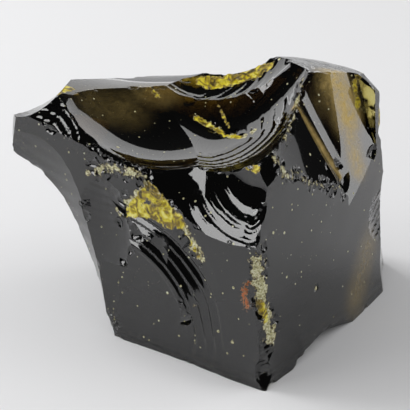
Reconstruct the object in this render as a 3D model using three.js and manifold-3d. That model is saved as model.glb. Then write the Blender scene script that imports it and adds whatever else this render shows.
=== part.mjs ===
// Obsidian chunk: one hand-sized lump of dark volcanic glass, in millimetres, Z up.
// It lies on its flat underside, with the scooped hollow on top and the overhanging horn at -X.
// The lump starts as a plain block and loses one flake at a time. Each flake leaves a scar, a broad
// shallow dish, and the sharp edges of the lump are the lines where two scars meet.
import * as THREE from 'three';
import { mergeVertices } from 'three/addons/utils/BufferGeometryUtils.js';
import loadManifold from 'manifold-3d';

const manifoldLibrary = await loadManifold();
manifoldLibrary.setup();

// The rough block that the flakes come off: its low and high corners.
const BLOCK_LOW = [-72, -60, 0];
const BLOCK_HIGH = [72, 52, 95];
// How far each flake reaches outward from its scar, past the whole block.
const FLAKE_DEPTH = 80;
// Facet size on the curved scars.
const FACET = 7;
const FLAT = Infinity;
const UP = [0, 0, 1];
const SIDEWAYS = [1, 0, 0];
const FRONT_TO_BACK = [0, 1, 0];

// Each scar: a point on it, the way it faces, its first direction along the surface, how far it
// reaches along and across that direction, and the radii of its two bends (a negative radius
// bulges). From a distance along the scar onward, a lip adds a third bend of the given radius and a
// wall rises with a flat slope. A twist turns the surface like a propeller blade.
const SCARS = {
  frontRight: {
    at: [38, -20, 35], faces: [0.831, -0.548, 0.094], along: UP,
    reach: [80, 90], bend: [900, -500],
  },
  frontLeft: {
    at: [-6, -33, 30], faces: [-0.566, -0.824, 0.022], along: UP,
    reach: [80, 90], bend: [700, FLAT],
  },
  rightFlank: {
    at: [63.5, 20, 25], faces: [0.99, -0.08, 0.02], along: UP,
    reach: [80, 90], bend: [200, 400],
  },
  rightBack: {
    at: [57, 36, 45], faces: [0.75, 0.64, 0.16], along: UP,
    reach: [80, 90], bend: [200, 300],
  },
  back: { at: [5, 46, 50], faces: [-0.05, 0.99, -0.12], along: UP, reach: [90, 100], bend: [90, 500] },
  leftFlute: {
    at: [-44.9, -1.9, 45], faces: [-0.816, -0.534, -0.223], along: UP,
    reach: [70, 60], bend: [FLAT, 78], twist: 0.0078,
  },
  underHorn: {
    at: [-44.7, 2, 35.3], faces: [-0.86, 0.27, -0.43], along: UP,
    reach: [60, 70], bend: [FLAT, FLAT], lip: { from: 4, radius: 29 },
  },
  backLeft: {
    at: [-42, 32, 60], faces: [-0.62, 0.78, 0.05], along: UP,
    reach: [80, 60], bend: [150, 400],
  },
  hornEnd: {
    at: [-65, 2, 68], faces: [-0.97, -0.18, 0.1], along: UP,
    reach: [60, 60], bend: [FLAT, FLAT],
  },
  hornSlope: {
    at: [-58, 12, 75.2], faces: [-0.42, 0.2, 0.87], along: FRONT_TO_BACK,
    reach: [70, 40], bend: [FLAT, 22],
  },
  topLeft: {
    at: [-18, 35, 75.9], faces: [0, 0.13, 1], along: SIDEWAYS,
    reach: [90, 90], bend: [120, -120], lip: { from: 8, radius: 60 },
  },
  topRight: {
    at: [32, 28, 86.4], faces: [0.1, 0.2, 0.975], along: SIDEWAYS,
    reach: [45, 60], bend: [-150, -200],
  },
  shoulder: {
    at: [61.5, 26, 76], faces: [0.75, 0, 0.66], along: UP,
    reach: [60, 60], bend: [-40, FLAT],
  },
  darkFace: {
    at: [31.6, -30.4, 62.4], faces: [0.84, -0.241, 0.491], along: [-0.506, 0.11, 0.856],
    reach: [60, 40], bend: [300, 300],
  },
  darkHollow: {
    at: [37.6, 2.6, 68.4], faces: [0.819, -0.321, 0.477], along: [-0.327, -0.941, -0.072],
    reach: [24, 32], bend: [15, 300], wall: { from: 0, slope: 0.2 },
  },
  tanStrip: {
    at: [51.1, 14.9, 64], faces: [0.732, -0.597, 0.329], along: [0.625, 0.78, 0.027],
    reach: [12, 38], bend: [FLAT, 300],
  },
  frontScoop: {
    at: [5.6, -38.6, 52.8], faces: [-0.44, -0.75, 0.49], along: UP,
    reach: [30, 28], bend: [58, 64],
  },
  hornTop: {
    at: [-52, -6, 70], faces: [-0.22, -0.62, 0.75], along: UP,
    reach: [40, 40], bend: [FLAT, FLAT],
  },
  backThinning: {
    at: [14, 43, 77], faces: [-0.1, 0.86, 0.5], along: UP,
    reach: [40, 40], bend: [60, 45],
  },
  footChip: {
    at: [37.2, -19.1, 1.5], faces: [0.6, -0.39, -0.7], along: SIDEWAYS,
    reach: [25, 25], bend: [50, 50],
  },
  bowlLeft: {
    at: [-13, -4, 64.8], faces: [0, 0, 1], along: FRONT_TO_BACK,
    reach: [46, 44], bend: [75, 42], lip: { from: 10, radius: 80 },
  },
  bowlRight: {
    at: [8, -3, 65.4], faces: [-0.16, 0.06, 0.98], along: FRONT_TO_BACK,
    reach: [40, 40], bend: [110, 27], lip: { from: 18, radius: 14 },
  },
  bowlBack: {
    at: [2, 26, 72.5], faces: [0, 0.1, 1], along: FRONT_TO_BACK,
    reach: [26, 28], bend: [28, 30],
  },
};

// Height of a scar's surface above its middle plane, at a place on that plane.
function scarHeight(scar, alongward, across) {
  const [bendAlong, bendAcross] = scar.bend;
  let height = alongward ** 2 / (2 * bendAlong) + across ** 2 / (2 * bendAcross);
  height += (scar.twist ?? 0) * alongward * across;
  if (scar.lip) {
    height += Math.max(0, alongward - scar.lip.from) ** 2 / (2 * scar.lip.radius);
  }
  if (scar.wall) {
    height += Math.max(0, alongward - scar.wall.from) * scar.wall.slope;
  }
  return height;
}

// The scar's own frame: its first direction, its second direction, the way it faces, its place.
function scarFrame(scar) {
  const outward = new THREE.Vector3(...scar.faces).normalize();
  const first = new THREE.Vector3(...scar.along);
  first.addScaledVector(outward, -first.dot(outward)).normalize();
  const second = new THREE.Vector3().crossVectors(outward, first);
  return new THREE.Matrix4().makeBasis(first, second, outward).setPosition(...scar.at);
}

// The flake that a scar loses: a slab whose underside has the scar's shape.
function flakeGeometry(scar) {
  const [reachAlong, reachAcross] = scar.reach;
  const curved = scar.bend.some(Number.isFinite) || scar.lip !== undefined;
  const segments = (reach) => (curved ? Math.ceil((2 * reach) / FACET) : 1);
  const slab = new THREE.BoxGeometry(
    2 * reachAlong, 2 * reachAcross, 2, segments(reachAlong), segments(reachAcross), 1,
  );
  const places = slab.attributes.position;
  for (let i = 0; i < places.count; i += 1) {
    const isUnderside = places.getZ(i) < 0;
    places.setZ(i, isUnderside ? scarHeight(scar, places.getX(i), places.getY(i)) : FLAKE_DEPTH);
  }
  return slab.applyMatrix4(scarFrame(scar));
}

// A closed three.js geometry as a solid that can be cut.
function toSolid(geometry) {
  const bare = geometry.clone();
  bare.deleteAttribute('normal');
  bare.deleteAttribute('uv');
  const merged = mergeVertices(bare, 1e-4);
  const mesh = new manifoldLibrary.Mesh({
    numProp: 3,
    vertProperties: new Float32Array(merged.attributes.position.array),
    triVerts: new Uint32Array(merged.index.array),
  });
  return new manifoldLibrary.Manifold(mesh);
}

// A cut solid back as a three.js geometry.
function toGeometry(solid) {
  const mesh = solid.getMesh();
  const geometry = new THREE.BufferGeometry();
  geometry.setAttribute('position', new THREE.BufferAttribute(mesh.vertProperties, 3));
  geometry.setIndex(new THREE.BufferAttribute(mesh.triVerts, 1));
  geometry.computeVertexNormals();
  return geometry;
}

function blockGeometry() {
  const size = BLOCK_HIGH.map((high, axis) => high - BLOCK_LOW[axis]);
  const middle = BLOCK_HIGH.map((high, axis) => (high + BLOCK_LOW[axis]) / 2);
  return new THREE.BoxGeometry(...size).translate(...middle);
}

let lump = toSolid(blockGeometry());
for (const scar of Object.values(SCARS)) {
  lump = lump.subtract(toSolid(flakeGeometry(scar)));
}

const volcanicGlass = new THREE.MeshStandardMaterial({ color: 0x12100c, roughness: 0.06, metalness: 0 });
const chunk = new THREE.Mesh(toGeometry(lump), volcanicGlass);
chunk.name = 'obsidian_chunk';

const obsidian = new THREE.Group();
obsidian.add(chunk);

export default obsidian;
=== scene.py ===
"""Obsidian chunk: the fine broken surface, the dark glass, a pale floor and soft studio light.

The lump is cut the way it broke. A block loses one flake at a time, and each flake leaves a scar: a
shallow dish with rings round the point where the blow landed. Lengths here are in millimetres until
a mesh is made.
"""

import math
from dataclasses import dataclass, field

import bpy
import numpy as np
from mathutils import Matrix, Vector
from mathutils.bvhtree import BVHTree


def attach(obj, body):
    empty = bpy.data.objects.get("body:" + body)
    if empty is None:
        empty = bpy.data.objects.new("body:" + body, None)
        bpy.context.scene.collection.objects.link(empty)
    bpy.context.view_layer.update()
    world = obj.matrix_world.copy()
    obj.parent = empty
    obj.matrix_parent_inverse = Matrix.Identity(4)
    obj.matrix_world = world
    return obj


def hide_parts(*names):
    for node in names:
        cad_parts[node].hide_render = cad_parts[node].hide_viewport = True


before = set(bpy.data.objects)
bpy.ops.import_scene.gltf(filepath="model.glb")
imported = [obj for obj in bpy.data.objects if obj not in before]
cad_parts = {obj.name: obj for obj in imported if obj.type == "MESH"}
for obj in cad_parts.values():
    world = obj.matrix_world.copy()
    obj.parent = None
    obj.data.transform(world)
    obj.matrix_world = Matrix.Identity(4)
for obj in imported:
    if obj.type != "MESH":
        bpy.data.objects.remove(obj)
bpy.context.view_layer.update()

MM = 0.001
FLAT = 1e9
UP = (0, 0, 1)
SIDEWAYS = (1, 0, 0)
FRONT_TO_BACK = (0, 1, 0)
BLOCK_LOW = (-72, -60, 0)
BLOCK_HIGH = (72, 52, 95)
FLAKE_DEPTH = 80


# ---------------------------------------------------------------- the shape of a scar


@dataclass
class Rings:
    """Ripples in rings round the point of the blow, given on the scar's own plane.

    A fan keeps them to one side: its middle angle and half its width, in degrees.
    """

    focus: tuple
    spacing: float
    depth: float
    first: float
    last: float
    steepness: float = 0.0
    squash: float = 1.0
    fan: tuple = None


@dataclass
class Scar:
    """A dish left by one flake. Bends are radii, and a negative one bulges.

    From a distance along it, a lip bends it up with a radius, and a wall rises with a flat slope.
    """

    name: str
    at: tuple
    faces: tuple
    reach: tuple
    bend: tuple = (FLAT, FLAT)
    along: tuple = UP
    twist: float = 0.0
    lip: tuple = None
    wall: tuple = None
    facet: float = 2.5
    rings: tuple = ()
    hackle: tuple = None
    waviness: tuple = None
    seed: int = 1
    axes: tuple = field(init=False, default=None)

    def __post_init__(self):
        outward = unit(self.faces)
        first = np.array(self.along, float)
        first = unit(first - outward * (first @ outward))
        self.axes = (first, np.cross(outward, first), outward)


def unit(vector):
    vector = np.array(vector, float)
    return vector / np.linalg.norm(vector)


def smooth(x):
    x = np.clip(x, 0, 1)
    return x * x * (3 - 2 * x)


def soft_noise(x, y, seed):
    """Smooth random heights from -0.5 to 0.5 on a plane."""
    col, row = np.floor(x), np.floor(y)
    u, v = smooth(x - col), smooth(y - row)

    def corner(i, j):
        value = np.sin(i * 127.1 + j * 311.7 + seed * 74.7) * 43758.5453
        return value - np.floor(value)

    low = corner(col, row) * (1 - u) + corner(col + 1, row) * u
    high = corner(col, row + 1) * (1 - u) + corner(col + 1, row + 1) * u
    return low * (1 - v) + high * v - 0.5


def ring_height(rings, u, v, seed):
    across = (v - rings.focus[1]) * rings.squash
    away = np.hypot(u - rings.focus[0], across)
    angle = np.arctan2(across, u - rings.focus[0])
    away = away + soft_noise(angle * 3 + 5, away / rings.spacing * 0.25, seed) * rings.spacing * 0.7
    phase = 2 * math.pi * away / rings.spacing
    wave = np.sin(phase + rings.steepness * np.sin(phase))
    fade = smooth((away - rings.first) / (0.2 * (rings.last - rings.first)))
    fade = fade * smooth((rings.last - away) / (0.15 * (rings.last - rings.first)))
    patchy = 0.8 + 0.7 * soft_noise(away / rings.spacing * 0.7 + 7, angle * 2.5, seed + 3)
    if rings.fan:
        turn = np.abs((angle - math.radians(rings.fan[0]) + math.pi) % (2 * math.pi) - math.pi)
        fade = fade * smooth(2.5 * (1 - turn / math.radians(rings.fan[1])))
    return rings.depth * wave * fade * patchy


def scar_height(scar, u, v):
    """Height of the scar above its middle plane."""
    height = u * u / (2 * scar.bend[0]) + v * v / (2 * scar.bend[1]) + scar.twist * u * v
    if scar.lip:
        height = height + np.maximum(0, u - scar.lip[0]) ** 2 / (2 * scar.lip[1])
    if scar.wall:
        height = height + np.maximum(0, u - scar.wall[0]) * scar.wall[1]
    for number, rings in enumerate(scar.rings):
        height = height + ring_height(rings, u, v, scar.seed + 7 * number)
    if scar.hackle:
        focus_u, focus_v, pitch, depth = scar.hackle
        angle = np.arctan2(v - focus_v, u - focus_u)
        away = np.hypot(u - focus_u, v - focus_v)
        height = height + depth * soft_noise(angle / pitch, away * 0.12, scar.seed + 2)
        height = height + 0.5 * depth * soft_noise(angle / pitch * 2.3, away * 0.3, scar.seed + 5)
    if scar.waviness:
        size, scale = scar.waviness
        height = height + 2 * size * soft_noise(u / scale + 50, v / scale + 50, scar.seed)
        height = height + size * soft_noise(u / scale * 2.1 + 9, v / scale * 2.1 + 31, scar.seed + 1)
    return height


def scar_normals(scar, points):
    """The way the scar's surface really faces at each point."""
    first, second, outward = scar.axes
    away = points - np.array(scar.at, float)
    u, v = away @ first, away @ second
    gap = 0.04
    slope_u = (scar_height(scar, u + gap, v) - scar_height(scar, u - gap, v)) / (2 * gap)
    slope_v = (scar_height(scar, u, v + gap) - scar_height(scar, u, v - gap)) / (2 * gap)
    normals = outward - slope_u[:, None] * first - slope_v[:, None] * second
    return normals / np.linalg.norm(normals, axis=1)[:, None]


def flake_mesh(scar):
    """The lost flake as a closed slab: its underside is the scar, its top is flat."""
    first, second, outward = scar.axes
    rows = max(4, round(2 * scar.reach[0] / scar.facet))
    cols = max(4, round(2 * scar.reach[1] / scar.facet))
    u, v = np.meshgrid(
        np.linspace(-scar.reach[0], scar.reach[0], rows + 1),
        np.linspace(-scar.reach[1], scar.reach[1], cols + 1),
        indexing="ij",
    )
    height = scar_height(scar, u, v)
    on_plane = np.array(scar.at, float) + u[..., None] * first + v[..., None] * second
    under = (on_plane + height[..., None] * outward).reshape(-1, 3)
    grid = np.arange(len(under)).reshape(rows + 1, cols + 1)
    a, b, c, d = grid[:-1, :-1], grid[1:, :-1], grid[1:, 1:], grid[:-1, 1:]
    checker = (np.add.outer(np.arange(rows), np.arange(cols)) % 2 == 0)[..., None]
    one = np.where(checker, np.stack([a, d, c], -1), np.stack([a, d, b], -1)).reshape(-1, 3)
    two = np.where(checker, np.stack([a, c, b], -1), np.stack([b, d, c], -1)).reshape(-1, 3)
    rim = np.concatenate([grid[:-1, 0], grid[-1, :-1], grid[:0:-1, -1], grid[0, :0:-1]])
    lid_height = min(FLAKE_DEPTH, 3 * max(scar.reach)) + max(0, height.max())
    lifted = under[rim] + (lid_height - height.reshape(-1)[rim])[:, None] * outward
    top = len(under) + np.arange(len(rim))
    following = np.roll(np.arange(len(rim)), -1)
    wall_one = np.stack([rim, rim[following], top[following]], -1)
    wall_two = np.stack([rim, top[following], top], -1)
    middle = len(under) + len(rim)
    lid = np.stack([top, top[following], np.full(len(rim), middle)], -1)
    centre = (np.array(scar.at, float) + outward * lid_height)[None]
    return np.concatenate([under, lifted, centre]), np.concatenate([one, two, wall_one, wall_two, lid])


# ---------------------------------------------------------------- cutting


def new_object(name, corners, faces):
    mesh = bpy.data.meshes.new(name)
    mesh.from_pydata((corners * MM).tolist(), [], faces.tolist())
    mesh.update()
    made = bpy.data.objects.new(name, mesh)
    bpy.context.scene.collection.objects.link(made)
    return made


def mark(piece, numbers):
    """Writes on every face which scar it belongs to."""
    attribute = piece.data.attributes.new("scar", "INT", "FACE")
    attribute.data.foreach_set("value", np.array(numbers, dtype=np.int32))


def rough_block():
    spans = list(zip(BLOCK_LOW, BLOCK_HIGH))
    corners = np.array([[x, y, z] for x in spans[0] for y in spans[1] for z in spans[2]], float)
    faces = np.array([[0, 1, 3, 2], [4, 6, 7, 5], [0, 4, 5, 1], [2, 3, 7, 6], [0, 2, 6, 4], [1, 5, 7, 3]])
    block = new_object("chunk", corners, faces)
    mark(block, [-1] * len(faces))
    return block


def take_off(lump, batch):
    """Cuts away flakes that don't touch each other: (number, scar) pairs."""
    corners, faces, numbers, start = [], [], [], 0
    for number, scar in batch:
        some_corners, some_faces = flake_mesh(scar)
        corners.append(some_corners)
        faces.append(some_faces + start)
        numbers += [number] * len(some_faces)
        start += len(some_corners)
    flake = new_object("flake", np.concatenate(corners), np.concatenate(faces))
    mark(flake, numbers)
    cut = lump.modifiers.new("break", "BOOLEAN")
    cut.operation = "DIFFERENCE"
    cut.solver = "MANIFOLD"
    cut.object = flake
    graph = bpy.context.evaluated_depsgraph_get()
    result = bpy.data.meshes.new_from_object(lump.evaluated_get(graph))
    lump.modifiers.clear()
    old = lump.data
    lump.data = result
    bpy.data.meshes.remove(old)
    flake_data = flake.data
    bpy.data.objects.remove(flake)
    bpy.data.meshes.remove(flake_data)


def face_scars(lump):
    numbers = np.zeros(len(lump.data.polygons), dtype=np.int32)
    lump.data.attributes["scar"].data.foreach_get("value", numbers)
    return numbers


def corner_places(mesh):
    places = np.zeros(len(mesh.vertices) * 3)
    mesh.vertices.foreach_get("co", places)
    return places.reshape(-1, 3)


# ---------------------------------------------------------------- the scars, in the order they broke

LUMP_SCARS = [
    Scar("front_right", (38, -20, 35), (0.831, -0.548, 0.094), (80, 90), bend=(900, -500),
         waviness=(0.06, 40), rings=(Rings((60, 30), 15, 0.02, 20, 140),)),
    Scar("front_left", (-6, -33, 30), (-0.566, -0.824, 0.022), (80, 90), bend=(700, FLAT),
         waviness=(0.12, 26)),
    Scar("right_flank", (63.5, 20, 25), (0.99, -0.08, 0.02), (80, 90), bend=(200, 400),
         waviness=(0.5, 16)),
    Scar("right_back", (57, 36, 45), (0.75, 0.64, 0.16), (80, 90), bend=(200, 300), facet=2.2,
         waviness=(0.2, 18), rings=(Rings((70, 20), 9, 0.25, 10, 120, 0.6),)),
    Scar("back", (5, 46, 50), (-0.05, 0.99, -0.12), (90, 100), bend=(90, 500), facet=2.2,
         waviness=(0.2, 22), rings=(Rings((-30, 60), 8, 0.22, 10, 90, 0.7),)),
    Scar("left_flute", (-44.9, -1.9, 45), (-0.816, -0.534, -0.223), (70, 60), bend=(FLAT, 78),
         twist=0.0078, facet=1.6, waviness=(0.12, 18), rings=(Rings((60, 0), 6, 0.05, 10, 100),)),
    Scar("under_horn", (-44.7, 2, 35.3), (-0.86, 0.27, -0.43), (60, 70), lip=(4, 29), waviness=(0.2, 16)),
    Scar("back_left", (-42, 32, 60), (-0.62, 0.78, 0.05), (80, 60), bend=(150, 400), waviness=(0.3, 20),
         rings=(Rings((50, 10), 7, 0.2, 12, 80, 0.5),)),
    Scar("horn_end", (-65, 2, 68), (-0.97, -0.18, 0.1), (60, 60), waviness=(0.3, 9)),
    Scar("horn_slope", (-58, 12, 75.2), (-0.42, 0.2, 0.87), (70, 40), along=FRONT_TO_BACK, bend=(FLAT, 22),
         facet=1.0, waviness=(0.05, 8), rings=(Rings((10, -12), 2.6, 0.06, 2, 34, 0.5),)),
    Scar("top_left", (-18, 35, 75.9), (0, 0.13, 1), (90, 90), along=SIDEWAYS, bend=(120, -120), lip=(8, 60),
         facet=1.6, waviness=(0.06, 14)),
    Scar("top_right", (32, 28, 86.4), (0.1, 0.2, 0.975), (45, 60), along=SIDEWAYS, bend=(-150, -200),
         facet=1.3, waviness=(0.25, 12), rings=(Rings((-20, -14), 3.4, 0.1, 4, 60, 0.5),)),
    Scar("shoulder", (61.5, 26, 76), (0.75, 0, 0.66), (60, 60), bend=(-40, FLAT), waviness=(0.3, 9)),
    Scar("dark_face", (31.6, -30.4, 62.4), (0.84, -0.241, 0.491), (60, 40), along=(-0.506, 0.11, 0.856),
         bend=(300, 300), facet=1.4, waviness=(0.03, 15)),
    Scar("dark_hollow", (37.6, 2.6, 68.4), (0.819, -0.321, 0.477), (24, 32), along=(-0.327, -0.941, -0.072),
         bend=(15, 300), wall=(0, 0.2), facet=1.0, waviness=(0.02, 12)),
    Scar("tan_strip", (51.1, 14.9, 64), (0.732, -0.597, 0.329), (12, 38), along=(0.625, 0.78, 0.027),
         bend=(FLAT, 300), facet=1.0, waviness=(0.02, 12)),
    Scar("horn_top", (-52, -6, 70), (-0.22, -0.62, 0.75), (40, 40), facet=1.0, waviness=(0.12, 7),
         rings=(Rings((-6, 10), 3, 0.16, 3, 40, 0.6),)),
    Scar("foot_chip", (37.2, -19.1, 1.5), (0.6, -0.39, -0.7), (25, 25), along=SIDEWAYS, bend=(50, 50),
         facet=1.5),
    Scar("back_thinning", (14, 43, 77), (-0.1, 0.86, 0.5), (40, 40), bend=(60, 45), facet=1.5,
         rings=(Rings((-20, 5), 4, 0.15, 4, 44, 0.6),)),
]

HOLLOW_SCARS = [
    Scar("bowl_left", (-13, -4, 64.8), (0, 0, 1), (46, 44), along=FRONT_TO_BACK, bend=(75, 42),
         lip=(10, 80), facet=0.9, waviness=(0.03, 16),
         rings=(Rings((12, 0), 5.0, 0.12, 20, 52, 0.4, 0.75),
                Rings((12, 0), 1.7, 0.016, 22, 52, 0.3, 0.75))),
    Scar("bowl_right", (8, -3, 65.4), (-0.16, 0.06, 0.98), (40, 40), along=FRONT_TO_BACK, bend=(110, 27),
         lip=(18, 14), facet=0.9, waviness=(0.03, 14),
         rings=(Rings((14, 10), 4.6, 0.10, 12, 50, 0.4), Rings((14, 10), 1.6, 0.014, 12, 48, 0.3))),
    Scar("bowl_back", (2, 26, 72.5), (0, 0.1, 1), (26, 28), along=FRONT_TO_BACK, bend=(28, 30), facet=0.9,
         waviness=(0.03, 9), rings=(Rings((18, 6), 4, 0.08, 6, 34, 0.4),)),
]

FACE_SCARS = [
    Scar("shell_face", (-19.9, -22.1, 19), (-0.566, -0.824, 0.022), (42, 42), bend=(420, 420), facet=0.6,
         rings=(Rings((-16, 16), 4.2, 0.62, 33, 51, 0.5, 1.0, (-38, 52)),
                Rings((-16, 16), 4.6, 0.03, 6, 34, 0.4))),
    Scar("front_scoop", (5.6, -38.6, 52.8), (-0.44, -0.75, 0.49), (30, 28), bend=(58, 64), facet=0.7,
         waviness=(0.05, 7), rings=(Rings((20, -8), 5.2, 0.24, 8, 44, 0.7),)),
    Scar("black_patch", (-13.5, -26.4, 60.7), (-0.12, -0.75, 0.65), (14, 14), bend=(90, 60), facet=0.7,
         waviness=(0.06, 5)),
    Scar("grey_flute", (-30.5, -14.2, 53), (-0.66, -0.73, -0.2), (24, 24), bend=(60, 24), facet=0.7,
         hackle=(24, 0, 0.12, 0.22), rings=(Rings((14, 4), 3.4, 0.10, 3, 30, 0.5),)),
    Scar("corner_scoop", (20, -37.6, 72.2), (0.42, -0.66, 0.62), (13, 13), bend=(11, 11), facet=0.6,
         rings=(Rings((4, -2), 2.2, 0.08, 3, 14, 0.5),)),
    Scar("side_scallop", (60.3, 18.6, 36), (0.93, -0.36, -0.1), (20, 20), bend=(30, 34), facet=0.8,
         rings=(Rings((12, 2), 3.2, 0.16, 3, 30, 0.8),)),
    Scar("foot_pit", (20.6, -47.6, 4.6), (0.1, -0.95, 0.28), (7, 7), bend=(5, 4.5), facet=0.4,
         rings=(Rings((0, 0), 1.6, 0.12, 1.2, 6, 0.5),)),
    Scar("ridge_flake_low", (21.5, -45.6, 18), (0.45, -0.88, 0.05), (13, 9), bend=(30, 9), facet=0.6,
         rings=(Rings((9, 0), 2.4, 0.1, 2, 16, 0.6),)),
    Scar("ridge_flake_high", (17.2, -46.0, 37), (0.2, -0.95, 0.1), (12, 8), bend=(26, 8), facet=0.6,
         rings=(Rings((8, 0), 2.2, 0.1, 2, 16, 0.6),)),
    Scar("left_foot_flake", (-31.6, -15.2, 5), (-0.7, -0.68, -0.1), (8, 8), bend=(9, 9), facet=0.5),
    Scar("heel_chip", (-33.5, -11, 3), (-0.9, -0.38, -0.2), (14, 14), bend=(40, 40), facet=0.9),
    Scar("shallow_flake", (24.7, -43.1, 6.6), (0.81, -0.57, 0.1), (14, 14), bend=(90, 90), facet=1.0),
]


# ---------------------------------------------------------------- chips along the edges

# How many chips break off any edge, off crushed edges, and off crushed bands across a face.
EDGE_CHIPS = 230
CRUSH_CHIPS = 190
BAND_CHIPS = 240
CHIP_SEED = 20
# How far a chip keeps from others that are broken off with it, in reaches, and how it slants.
CHIP_CLEARANCE = 1.725
CHIP_SLANT = 0.28
# Distance between the points worked out along a band.
BAND_STEP = 1.2

# Places where the glass is crushed: points along a band, its width, and its strength from 0 to 1.
CRUSHED_BANDS = [
    ([(16.7, -47.0, 46), (18.0, -47.2, 36), (20.5, -46.5, 26), (22.0, -45.6, 17)], 4.5, 1.0),
    ([(-39, -10.3, 61), (-32, -15.4, 64.5), (-25, -20.1, 65), (-19, -24, 65.5)], 3.2, 0.9),
    ([(-30, -15.5, 48), (-25, -20, 55), (-19, -23.5, 61.5)], 3.0, 0.9),
    ([(-19, -23.5, 61.5), (-13, -28, 56), (-7, -31.8, 50), (-1.7, -35.8, 41.4)], 3.2, 1.0),
    ([(12.9, -37.5, 74), (15, -38.5, 75.5)], 3.0, 1.0),
    ([(22, -33, 76), (25, -32.5, 70.5), (31, -25, 66)], 4.0, 0.8),
    ([(26, -21, 77.5), (30, -5, 80), (32, 8, 82), (34, 14, 85)], 2.6, 0.75),
    ([(-2.8, 21.2, 68.1), (2.5, 18, 66.3), (7.3, 12.8, 65.5), (12.2, 8, 66), (16.3, 8.3, 68.1)], 2.6, 1.0),
    ([(19, 39.9, 79.1), (12.7, 39.6, 76.2), (6.2, 39.6, 74.6)], 3.4, 0.8),
    ([(-9, -31.5, 22), (-6, -33, 18), (-4, -34.5, 24)], 3.0, 0.5),
    ([(-32.5, -15.5, 8), (-31, -17, 2)], 3.0, 0.6),
    ([(0, -37.2, 14), (0, -37.5, 9)], 1.6, 0.6),
    ([(31, -25, 66), (36.5, -18.7, 60.5), (46.1, -4.5, 53)], 2.6, 0.7),
    ([(58.9, 25, 70), (60.2, 22, 62)], 2.4, 0.6),
    ([(38, -21.5, 23)], 1.8, 0.9),
]

# The same for cracks inside the glass, which throw light back; that light is painted on them as a yellow
# glow.
CRACKS_WITH_PAINTED_GLOW = [
    ([(-27.5, -18, 48.5), (-22, -21.7, 56), (-18.9, -24.2, 61.5)], 2.6, 1.0),
    ([(-18.5, -24.4, 60), (-13, -28.4, 55.5), (-9, -31, 52)], 4.0, 1.0),
    ([(-24, -20, 51), (-18, -24.5, 53), (-12, -28.6, 51)], 4.0, 0.95),
    ([(-9, -31, 50), (-5, -33.6, 45.5), (-2.5, -35.4, 42)], 1.7, 0.85),
    ([(12.5, -37, 74), (15.5, -37.8, 74.5)], 3.0, 1.0),
    ([(-2.8, 21.2, 68.1), (2.5, 18, 66.3), (7.3, 12.8, 65.5), (12.2, 8, 66)], 1.9, 1.0),
    ([(5, 25.8, 70.8), (6.5, 22, 68.6), (8.5, 17, 66.5)], 1.5, 0.8),
    ([(0, 40, 74.3), (6.2, 39.6, 74.6), (12.7, 39.6, 76.2), (19.1, 39.9, 79.1)], 5.2, 0.85),
    ([(19.1, 39.9, 79.1), (23, 38, 82)], 3.4, 0.8),
    ([(-20.3, 28.7, 75.8), (-16, 27.1, 74.1)], 2.6, 0.6),
    ([(54, 25.5, 82), (53.6, 24, 78), (54.5, 22.4, 72.5)], 3.4, 0.75),
    ([(57, 25.2, 75.2), (58.9, 23.8, 69.3)], 2.2, 0.7),
    ([(18, -47.2, 30), (20, -46.5, 24)], 2.6, 0.8),
    ([(-51, 13, 81.2), (-47.5, 18, 80.6)], 3.0, 0.9),
    ([(62, 26.5, 68), (63, 27, 62)], 3.0, 0.8),
]

# The same for places where the glass is thin or layered enough for light to shine amber all through; that
# glow is painted on as an opaque amber colour.
PAINTED_AMBER_BANDS = [
    ([(45.5, 18, 83), (48.5, 18.5, 76), (50, 17.5, 70)], 7.5, 1.0),
    ([(50.5, 16, 66), (51.5, 14, 60), (53.8, 12, 53)], 4.8, 0.7),
    ([(30, 2.5, 81), (37.1, 3.3, 69.4), (41.8, 3.0, 61.3), (47, 3.1, 53)], 1.9, 0.8),
    ([(54, 0, 8), (58, 6, 16), (60, 11, 22)], 8.0, 0.24),
    ([(-39, 16, 73), (-30, 20, 70)], 10.0, 0.14),
    ([(-22, 28, 74), (-14, 29, 73)], 6.0, 0.2),
    ([(44, 19, 82), (42, 14, 78)], 7.0, 0.16),
]

# The same for rust.
RUST_STAINS = [
    ([(14, -47, 37), (12, -46, 33), (13.5, -46.4, 29)], 2.2, 1.0),
    ([(17.5, -47, 40), (18, -47.2, 45)], 1.6, 0.8),
]


def band_samples(bands):
    """Points along every band, with the band's width and strength at each."""
    places, widths, strengths = [], [], []
    for route, width, strength in bands:
        route = [np.array(place, float) for place in route]
        if len(route) == 1:
            route = route * 2
        for start, end in zip(route, route[1:]):
            count = max(2, int(np.linalg.norm(end - start) / BAND_STEP))
            for share in np.linspace(0, 1, count):
                places.append(start + (end - start) * share)
                widths.append(width)
                strengths.append(strength)
    return np.array(places), np.array(widths), np.array(strengths)


def sharp_edges(lump, numbers):
    """Middle, length and outward direction of the edges where two scars meet."""
    mesh = lump.data
    places = corner_places(mesh)
    normals = np.zeros(len(mesh.polygons) * 3)
    mesh.polygons.foreach_get("normal", normals)
    normals = normals.reshape(-1, 3)
    first_face = {}
    found = []
    for face in mesh.polygons:
        for key in face.edge_keys:
            other = first_face.setdefault(key, face.index)
            if other != face.index and numbers[other] != numbers[face.index]:
                found.append((key[0], key[1], other, face.index))
    found = np.array(found)
    one, two = places[found[:, 0]] / MM, places[found[:, 1]] / MM
    outward = normals[found[:, 2]] + normals[found[:, 3]]
    bend = (normals[found[:, 2]] * normals[found[:, 3]]).sum(1)
    length = np.linalg.norm(two - one, axis=1)
    keep = (bend < 0.9) & (length > 0.02)
    outward = outward[keep] / np.linalg.norm(outward[keep], axis=1)[:, None]
    return (one[keep] + two[keep]) / 2, length[keep], outward


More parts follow.
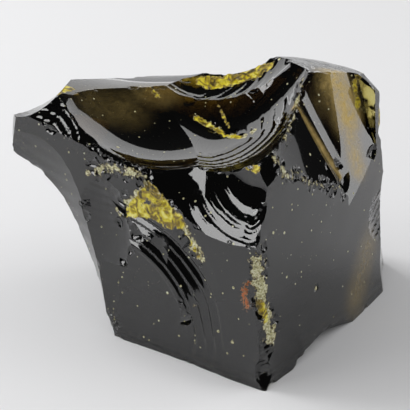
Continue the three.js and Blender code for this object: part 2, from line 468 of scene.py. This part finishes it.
def small_chip(name, place, outward, depth, radius, rng):
    """A little shell-shaped chip that bites this deep into an edge, at a slightly random slant."""
    chord = math.sqrt(2 * radius * depth)
    squash = rng.uniform(0.6, 1.5)
    faces = unit(outward + rng.normal(0, CHIP_SLANT, 3))
    along = rng.normal(0, 1, 3)
    reach = min(1.5 * chord * max(1, squash) ** 0.5 + 0.6, 3.2 * radius)
    return Scar(
        name, tuple(place - faces * depth), tuple(faces), (reach, reach), along=tuple(along),
        bend=(radius, radius * squash), facet=max(0.22, reach / 5),
        rings=(Rings((0.6 * chord, 0), 0.55 * chord, 0.035 * chord, 0.2 * chord, 2.5 * chord, 0.6),),
        seed=int(rng.integers(1, 90)),
    )


def edge_chips(lump, numbers, rng):
    """Chips on every edge, crowded and small where the edge is crushed."""
    middles, lengths, outwards = sharp_edges(lump, numbers)
    on_base = middles[:, 2] < 0.3
    lengths = np.where(on_base, 0.6 * lengths, lengths)
    chips = []
    picks = rng.choice(len(middles), size=EDGE_CHIPS, p=lengths / lengths.sum())
    for pick in picks:
        depth = 0.12 + 0.75 * rng.random() ** 3
        radius = rng.uniform(1.6, 6.5)
        chips.append(small_chip("edge_chip", middles[pick], outwards[pick], depth, radius, rng))
    places, widths, strengths = band_samples(CRUSHED_BANDS)
    near = np.zeros(len(middles))
    for place, width, strength in zip(places, widths, strengths):
        near = np.maximum(near, strength * (np.linalg.norm(middles - place, axis=1) < width * 1.3))
    weight = lengths * near
    for pick in rng.choice(len(middles), size=CRUSH_CHIPS, p=weight / weight.sum()):
        depth = rng.uniform(0.1, 0.55)
        radius = rng.uniform(0.8, 2.6)
        chips.append(small_chip("crush_chip", middles[pick], outwards[pick], depth, radius, rng))
    return chips


def surface_chips(lump, rng):
    """Little bites in the crushed bands that run across a face."""
    tree = BVHTree.FromObject(lump, bpy.context.evaluated_depsgraph_get())
    places, widths, strengths = band_samples(CRUSHED_BANDS)
    weight = widths * strengths
    chips = []
    for pick in rng.choice(len(places), size=BAND_CHIPS, p=weight / weight.sum()):
        place = places[pick] + rng.normal(0, 0.45, 3) * widths[pick]
        spot, normal, _, _ = tree.find_nearest(Vector(place * MM))
        depth = rng.uniform(0.08, 0.4)
        radius = rng.uniform(0.9, 3.0)
        chips.append(small_chip("band_chip", np.array(spot) / MM, np.array(normal), depth, radius, rng))
    return chips


def batches(numbered):
    """Groups of small chips in which no two touch."""
    groups = []
    for number, scar in numbered:
        place = np.array(scar.at, float)
        size = max(scar.reach) * CHIP_CLEARANCE
        for group in groups:
            if all(np.linalg.norm(place - other) > size + other_size for _, _, other, other_size in group):
                group.append((number, scar, place, size))
                break
        else:
            groups.append([(number, scar, place, size)])
    return [[(number, scar) for number, scar, _, _ in group] for group in groups]


# ---------------------------------------------------------------- the lump


def broken_lump():
    """The whole lump, and the list of scars that its faces are numbered by."""
    scars = []
    lump = rough_block()
    for scar in LUMP_SCARS + HOLLOW_SCARS + FACE_SCARS:
        take_off(lump, [(len(scars), scar)])
        scars.append(scar)
    rng = np.random.default_rng(CHIP_SEED)
    for chips in (edge_chips(lump, face_scars(lump), rng), surface_chips(lump, rng)):
        numbered = [(len(scars) + i, chip) for i, chip in enumerate(chips)]
        scars += chips
        for batch in batches(numbered):
            take_off(lump, batch)
    return lump, scars


def shade_by_scars(lump, scars):
    """Gives every face corner the true direction of the scar it lies on, so edges stay crisp."""
    mesh = lump.data
    mesh.shade_smooth()
    numbers = face_scars(lump)
    places = corner_places(mesh) / MM
    corner_vertex = np.zeros(len(mesh.loops), dtype=np.int32)
    mesh.loops.foreach_get("vertex_index", corner_vertex)
    sides = np.zeros(len(mesh.polygons), dtype=np.int32)
    mesh.polygons.foreach_get("loop_total", sides)
    corner_scar = np.repeat(numbers, sides)
    flat = np.zeros(len(mesh.polygons) * 3)
    mesh.polygons.foreach_get("normal", flat)
    normals = np.repeat(flat.reshape(-1, 3), sides, axis=0)
    for number in np.unique(corner_scar):
        if number < 0:
            continue
        mine = np.flatnonzero(corner_scar == number)
        true = scar_normals(scars[number], places[corner_vertex[mine]])
        agrees = (true * normals[mine]).sum(1) > 0.3
        normals[mine[agrees]] = true[agrees]
    mesh.normals_split_custom_set(normals.tolist())


def write_measure(mesh, name, values):
    attribute = mesh.attributes.new(name, "FLOAT", "POINT")
    attribute.data.foreach_set("value", np.asarray(values, dtype=np.float32))


def near_bands(places, bands):
    """How close each place is to a list of bands, from 0 to 1."""
    spots, widths, strengths = band_samples(bands)
    share = np.zeros(len(places))
    for spot, width, strength in zip(spots, widths, strengths):
        near = 1 - np.linalg.norm(places / MM - spot, axis=1) / (width * 1.5)
        share = np.maximum(share, strength * smooth(near))
    return share


# Thickness where the glass is solid all through, and the thickness over which it stops glowing.
SOLID_THICKNESS = 60.0
GLOW_THICKNESS = 20.0


def measure_surface(lump):
    """Writes how thin, crushed, cracked and rusty the glass is at every point of the mesh, and where glow
    is painted on: yellow on the cracks, amber where thin glass would let light through.
    """
    mesh = lump.data
    places = corner_places(mesh)
    normals = np.zeros(len(mesh.vertices) * 3)
    mesh.vertex_normals.foreach_get("vector", normals)
    normals = normals.reshape(-1, 3)
    tree = BVHTree.FromObject(lump, bpy.context.evaluated_depsgraph_get())
    thickness = np.full(len(places), SOLID_THICKNESS)
    for index in range(len(places)):
        inward = Vector(-normals[index])
        start = Vector(places[index]) + inward * 0.2 * MM
        _, _, _, distance = tree.ray_cast(start, inward)
        if distance is not None:
            thickness[index] = distance / MM
    write_measure(mesh, "thin", np.exp(-thickness / GLOW_THICKNESS))
    write_measure(mesh, "crushed", near_bands(places, CRUSHED_BANDS))
    write_measure(mesh, "cracked_with_painted_glow", near_bands(places, CRACKS_WITH_PAINTED_GLOW))
    write_measure(mesh, "rusty", near_bands(places, RUST_STAINS))
    write_measure(mesh, "painted_amber", near_bands(places, PAINTED_AMBER_BANDS))


lump, scars = broken_lump()
shade_by_scars(lump, scars)
measure_surface(lump)
lump.name = "broken_obsidian"
lump.data.name = "broken_obsidian"


# ---------------------------------------------------------------- finishes


def new_material(name):
    material = bpy.data.materials.new(name)
    material.use_nodes = True
    material.node_tree.nodes.clear()
    return material, material.node_tree


def add(tree, kind, inputs=(), **settings):
    """A new node, with its settings and the plain values of some inputs."""
    node = tree.nodes.new(kind)
    for key, value in settings.items():
        setattr(node, key, value)
    for key, value in dict(inputs).items():
        node.inputs[key].default_value = value
    return node


def feed(tree, source, target):
    tree.links.new(source, target)


def effect(name, sockets_in, sockets_out):
    """An empty node group with named sockets: (name, kind, default) in, (name, kind) out."""
    group = bpy.data.node_groups.new(name, "ShaderNodeTree")
    for socket_name, kind, default in sockets_in:
        socket = group.interface.new_socket(socket_name, in_out="INPUT", socket_type=kind)
        socket.default_value = default
    for socket_name, kind in sockets_out:
        group.interface.new_socket(socket_name, in_out="OUTPUT", socket_type=kind)
    return group, group.nodes.new("NodeGroupInput"), group.nodes.new("NodeGroupOutput")


def combine(tree, one, two, operation="MULTIPLY"):
    """Two numbers, each a socket or a value, multiplied or put together in another way."""
    node = add(tree, "ShaderNodeMath", operation=operation)
    for index, item in enumerate((one, two)):
        if isinstance(item, (int, float)):
            node.inputs[index].default_value = item
        else:
            feed(tree, item, node.inputs[index])
    return node.outputs[0]


def ragged_patch():
    """A band amount from 0 to 1 turned into a ragged patch with torn edges."""
    tree, given, result = effect(
        "ragged patch",
        [("Amount", "NodeSocketFloat", 0.0), ("Scale", "NodeSocketFloat", 1000.0),
         ("Raggedness", "NodeSocketFloat", 0.8), ("Level", "NodeSocketFloat", 0.5)],
        [("Mask", "NodeSocketFloat")],
    )
    place = add(tree, "ShaderNodeTexCoord")
    noise = add(tree, "ShaderNodeTexNoise", {"Detail": 5.0, "Roughness": 0.65})
    feed(tree, place.outputs["Object"], noise.inputs["Vector"])
    feed(tree, given.outputs["Scale"], noise.inputs["Scale"])
    rough = combine(tree, combine(tree, noise.outputs[0], 0.5, "SUBTRACT"), given.outputs["Raggedness"])
    amount = combine(tree, rough, given.outputs["Amount"], "ADD")
    inside = combine(tree, amount, given.outputs["Level"], "SUBTRACT")
    sharp = add(tree, "ShaderNodeClamp")
    feed(tree, combine(tree, inside, 9.0), sharp.inputs["Value"])
    here = combine(tree, given.outputs["Amount"], 0.02, "GREATER_THAN")
    feed(tree, combine(tree, sharp.outputs[0], here), result.inputs["Mask"])
    return tree


def dust_specks():
    """Scattered pale specks of crushed glass."""
    tree, given, result = effect(
        "dust specks",
        [("Scale", "NodeSocketFloat", 300.0), ("Size", "NodeSocketFloat", 0.12),
         ("Share", "NodeSocketFloat", 0.2)],
        [("Mask", "NodeSocketFloat")],
    )
    place = add(tree, "ShaderNodeTexCoord")
    cells = add(tree, "ShaderNodeTexVoronoi")
    feed(tree, place.outputs["Object"], cells.inputs["Vector"])
    feed(tree, given.outputs["Scale"], cells.inputs["Scale"])
    split = add(tree, "ShaderNodeSeparateColor")
    feed(tree, cells.outputs["Color"], split.inputs["Color"])
    chosen = combine(tree, split.outputs[0], given.outputs["Share"], "LESS_THAN")
    size = combine(tree, split.outputs[1], given.outputs["Size"])
    close = combine(tree, cells.outputs["Distance"], size, "LESS_THAN")
    feed(tree, combine(tree, chosen, close), result.inputs["Mask"])
    return tree


def put_effect(tree, group, values):
    node = tree.nodes.new("ShaderNodeGroup")
    node.node_tree = group
    for key, value in dict(values).items():
        node.inputs[key].default_value = value
    return node


def measure(tree, name):
    return add(tree, "ShaderNodeAttribute", attribute_name=name).outputs["Fac"]


def ramp(tree, source, stops):
    node = add(tree, "ShaderNodeValToRGB")
    points = node.color_ramp.elements
    while len(points) < len(stops):
        points.new(0.5)
    for point, (position, colour) in zip(points, stops):
        point.position = position
        point.color = (*colour, 1)
    feed(tree, source, node.inputs[0])
    return node.outputs["Color"]


# Colours of the glass from thick to thin, of the crushed glass, and inside the cracks, where the bright
# yellow is a painted glow of light shining through.
GLASS_TINTS = [
    (0.0, (0.03, 0.025, 0.014)), (0.12, (0.16, 0.13, 0.06)), (0.4, (0.8, 0.74, 0.5)), (0.8, (1, 1, 0.9)),
]
CRUSHED_COLOURS = [
    (0.3, (0.10, 0.09, 0.05)), (0.45, (0.45, 0.42, 0.20)), (0.6, (0.72, 0.70, 0.48)),
    (0.8, (0.85, 0.84, 0.72)),
]
CRACK_AND_PAINTED_GLOW_COLOURS = [
    (0.36, (0.06, 0.045, 0.008)), (0.46, (0.30, 0.21, 0.015)), (0.55, (0.68, 0.56, 0.012)),
    (0.68, (0.85, 0.80, 0.22)),
]
RUST = (0.42, 0.11, 0.025, 1)
# Painted amber glow: an opaque colour that stands in for light shining through thin glass.
PAINTED_AMBER_COLOUR = (0.66, 0.47, 0.14, 1)
GLASS_ABSORPTION = {"Color": (0.69, 0.61, 0.0, 1), "Density": 300.0}


def obsidian_glass():
    """Clear dark brown glass, with crushed glass, cracks with a painted yellow glow, a painted amber glow
    where thin glass would let light through, rust and dust on it.
    """
    material, tree = new_material("obsidian glass")
    patch, specks = ragged_patch(), dust_specks()
    finish = {"Transmission Weight": 1.0, "IOR": 1.75, "Roughness": 0.03}
    glass = add(tree, "ShaderNodeBsdfPrincipled", finish)
    feed(tree, ramp(tree, measure(tree, "thin"), GLASS_TINTS), glass.inputs["Base Color"])

    crushed = put_effect(tree, patch, {"Scale": 380.0, "Raggedness": 2.2, "Level": 0.72})
    feed(tree, measure(tree, "crushed"), crushed.inputs["Amount"])
    # The cracks get an opaque yellow, a painted glow of the light that shines through them.
    cracked_with_painted_glow = put_effect(tree, patch, {"Scale": 420.0, "Raggedness": 1.1, "Level": 0.5})
    feed(tree, measure(tree, "cracked_with_painted_glow"), cracked_with_painted_glow.inputs["Amount"])
    rusty = put_effect(tree, patch, {"Scale": 1500.0, "Raggedness": 2.4, "Level": 0.62})
    feed(tree, measure(tree, "rusty"), rusty.inputs["Amount"])
    coarse = put_effect(tree, specks, {"Scale": 230.0, "Size": 0.16, "Share": 0.2})
    fine = put_effect(tree, specks, {"Scale": 560.0, "Size": 0.22, "Share": 0.24})
    dust = combine(tree, coarse.outputs["Mask"], fine.outputs["Mask"], "MAXIMUM")

    place = add(tree, "ShaderNodeTexCoord")
    grain = add(tree, "ShaderNodeTexNoise", {"Scale": 1500.0, "Detail": 3.0})
    feed(tree, place.outputs["Object"], grain.inputs["Vector"])
    streaks = add(tree, "ShaderNodeTexNoise", {"Scale": 240.0, "Detail": 5.0, "Distortion": 1.6})
    feed(tree, place.outputs["Object"], streaks.inputs["Vector"])
    pale = ramp(tree, grain.outputs[0], CRUSHED_COLOURS)
    painted_crack_glow = ramp(tree, streaks.outputs[0], CRACK_AND_PAINTED_GLOW_COLOURS)
    colour = add(tree, "ShaderNodeMix", data_type="RGBA")
    feed(tree, cracked_with_painted_glow.outputs["Mask"], colour.inputs["Factor"])
    feed(tree, pale, colour.inputs["A"])
    feed(tree, painted_crack_glow, colour.inputs["B"])
    stained = add(tree, "ShaderNodeMix", data_type="RGBA")
    feed(tree, rusty.outputs["Mask"], stained.inputs["Factor"])
    feed(tree, colour.outputs["Result"], stained.inputs["A"])
    stained.inputs["B"].default_value = RUST

    # Where light would shine amber through thin glass, the glow is painted on as an opaque colour.
    painted_amber = combine(tree, measure(tree, "painted_amber"), combine(tree, streaks.outputs[0], 1.55))
    solid = combine(tree, crushed.outputs["Mask"], cracked_with_painted_glow.outputs["Mask"], "MAXIMUM")
    solid = combine(tree, combine(tree, solid, rusty.outputs["Mask"], "MAXIMUM"), dust, "MAXIMUM")
    powder_and_painted_glow_colour = add(tree, "ShaderNodeMix", data_type="RGBA")
    feed(tree, solid, powder_and_painted_glow_colour.inputs["Factor"])
    powder_and_painted_glow_colour.inputs["A"].default_value = PAINTED_AMBER_COLOUR
    feed(tree, stained.outputs["Result"], powder_and_painted_glow_colour.inputs["B"])

    # An opaque finish for crushed glass, rust and dust, and for the painted glow on cracks and thin glass.
    powder_and_painted_glow_finish = add(tree, "ShaderNodeBsdfPrincipled", {"Roughness": 0.35, "IOR": 1.5})
    feed(tree, powder_and_painted_glow_colour.outputs["Result"], powder_and_painted_glow_finish.inputs["Base Color"])
    bump = add(tree, "ShaderNodeBump", {"Strength": 0.7, "Distance": 0.0006})
    feed(tree, grain.outputs[0], bump.inputs["Height"])
    feed(tree, bump.outputs["Normal"], powder_and_painted_glow_finish.inputs["Normal"])
    both = add(tree, "ShaderNodeMixShader")
    feed(tree, combine(tree, solid, painted_amber, "MAXIMUM"), both.inputs["Fac"])
    feed(tree, glass.outputs["BSDF"], both.inputs[1])
    feed(tree, powder_and_painted_glow_finish.outputs["BSDF"], both.inputs[2])
    depth = add(tree, "ShaderNodeVolumeAbsorption", GLASS_ABSORPTION)
    out = add(tree, "ShaderNodeOutputMaterial")
    feed(tree, both.outputs["Shader"], out.inputs["Surface"])
    feed(tree, depth.outputs["Volume"], out.inputs["Volume"])
    return material


lump.data.materials.clear()
lump.data.materials.append(obsidian_glass())
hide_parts("obsidian_chunk")
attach(lump, "root")


# ---------------------------------------------------------------- floor, light and camera


# The floor sheet in metres: its sides, its near end, where it starts to curl, and the curl's radius.
FLOOR_LEFT, FLOOR_RIGHT = -1.5, 1.2
FLOOR_NEAR, CURL_START, CURL_RADIUS = -1.6, 0.95, 0.3
ROOM_LIGHT = 0.42
ROOM_SHINE = 0.03
SENSOR_WIDTH = 36
VIEW_WIDTH = 142.885 * MM


def studio_floor():
    """A pale sheet on a table, with its far end curled up a little."""
    profile = [(FLOOR_NEAR, 0), (CURL_START, 0)]
    for turn in np.linspace(0.1, math.pi / 2.6, 10):
        rise = CURL_RADIUS - CURL_RADIUS * math.cos(turn)
        profile.append((CURL_START + CURL_RADIUS * math.sin(turn), rise))
    corners, faces = [], []
    for y, z in profile:
        corners += [(FLOOR_LEFT, y, z), (FLOOR_RIGHT, y, z)]
    for i in range(len(profile) - 1):
        faces.append((2 * i, 2 * i + 1, 2 * i + 3, 2 * i + 2))
    mesh = bpy.data.meshes.new("studio_floor")
    mesh.from_pydata(corners, [], faces)
    mesh.shade_smooth()
    floor = bpy.data.objects.new("studio_floor", mesh)
    bpy.context.scene.collection.objects.link(floor)
    material, tree = new_material("pale floor paper")
    paper = add(tree, "ShaderNodeBsdfPrincipled", {"Base Color": (0.80, 0.80, 0.81, 1), "Roughness": 0.9})
    paper.inputs["Specular IOR Level"].default_value = 0.1
    out = add(tree, "ShaderNodeOutputMaterial")
    feed(tree, paper.outputs["BSDF"], out.inputs["Surface"])
    mesh.materials.append(material)


def softbox(name, place, size, radiance, shines=True, lights=True):
    """A square lamp aimed at the lump. It can be kept out of the shine, or out of the plain light."""
    lamp = bpy.data.lights.new(name, "AREA")
    lamp.shape = "RECTANGLE"
    lamp.size, lamp.size_y = size
    lamp.energy = radiance * math.pi * size[0] * size[1]
    lamp_object = bpy.data.objects.new(name, lamp)
    bpy.context.scene.collection.objects.link(lamp_object)
    lamp_object.location = place
    direction = Vector((0, 0, 0.05)) - Vector(place)
    lamp_object.rotation_mode = "QUATERNION"
    lamp_object.rotation_quaternion = direction.to_track_quat("-Z", "Y")
    lamp_object.visible_camera = False
    lamp_object.visible_glossy = shines
    lamp_object.visible_transmission = shines
    lamp_object.visible_diffuse = lights


def dim_room():
    """Soft light from all round. In the shine of the glass the room above the floor looks dark."""
    world = bpy.data.worlds.new("dim room")
    bpy.context.scene.world = world
    world.use_nodes = True
    tree = world.node_tree
    tree.nodes.clear()
    path = add(tree, "ShaderNodeLightPath")
    through = combine(tree, path.outputs["Is Glossy Ray"], path.outputs["Is Transmission Ray"], "MAXIMUM")
    strength = add(tree, "ShaderNodeMapRange", {"To Min": ROOM_LIGHT, "To Max": ROOM_SHINE})
    feed(tree, through, strength.inputs["Value"])
    light = add(tree, "ShaderNodeBackground", {"Color": (1, 1, 1, 1)})
    feed(tree, strength.outputs[0], light.inputs["Strength"])
    out = add(tree, "ShaderNodeOutputWorld")
    feed(tree, light.outputs["Background"], out.inputs["Surface"])


def camera_at(azimuth, elevation, target, distance, width):
    """A camera that sees this width, in metres, at the target."""
    camera = bpy.data.cameras.new("camera")
    camera.sensor_width = SENSOR_WIDTH
    camera.lens = SENSOR_WIDTH * distance / width
    camera.clip_start = 0.01
    placed = bpy.data.objects.new("camera", camera)
    bpy.context.scene.collection.objects.link(placed)
    turn, rise = math.radians(azimuth), math.radians(elevation)
    back = Vector((math.sin(turn) * math.cos(rise), -math.cos(turn) * math.cos(rise), math.sin(rise)))
    placed.location = Vector(target) + back * distance
    placed.rotation_mode = "QUATERNION"
    placed.rotation_quaternion = (-back).to_track_quat("-Z", "Y")
    bpy.context.scene.camera = placed


studio_floor()
dim_room()
softbox("upper_left_back", (-0.75, 0.40, 0.95), (0.50, 0.50), 10, shines=False)
softbox("front_left", (-0.95, -0.40, 0.60), (0.80, 0.80), 4.6, lights=False)
softbox("low_right", (1.16, 0.1, 0.20), (0.40, 0.36), 2.6, lights=False)
softbox("low_back", (0, 1.15, 0.36), (1.9, 0.56), 1.15, lights=False)
softbox("left_fill", (-1.1, -0.2, 0.9), (0.9, 0.9), 1.6, shines=False)
softbox("right_fill", (0.9, 0.1, 0.9), (0.9, 0.9), 1.4, shines=False)
camera_at(0, 25, (0, 0, 0.044), 0.6, VIEW_WIDTH)
bpy.context.scene.view_settings.view_transform = "Standard"
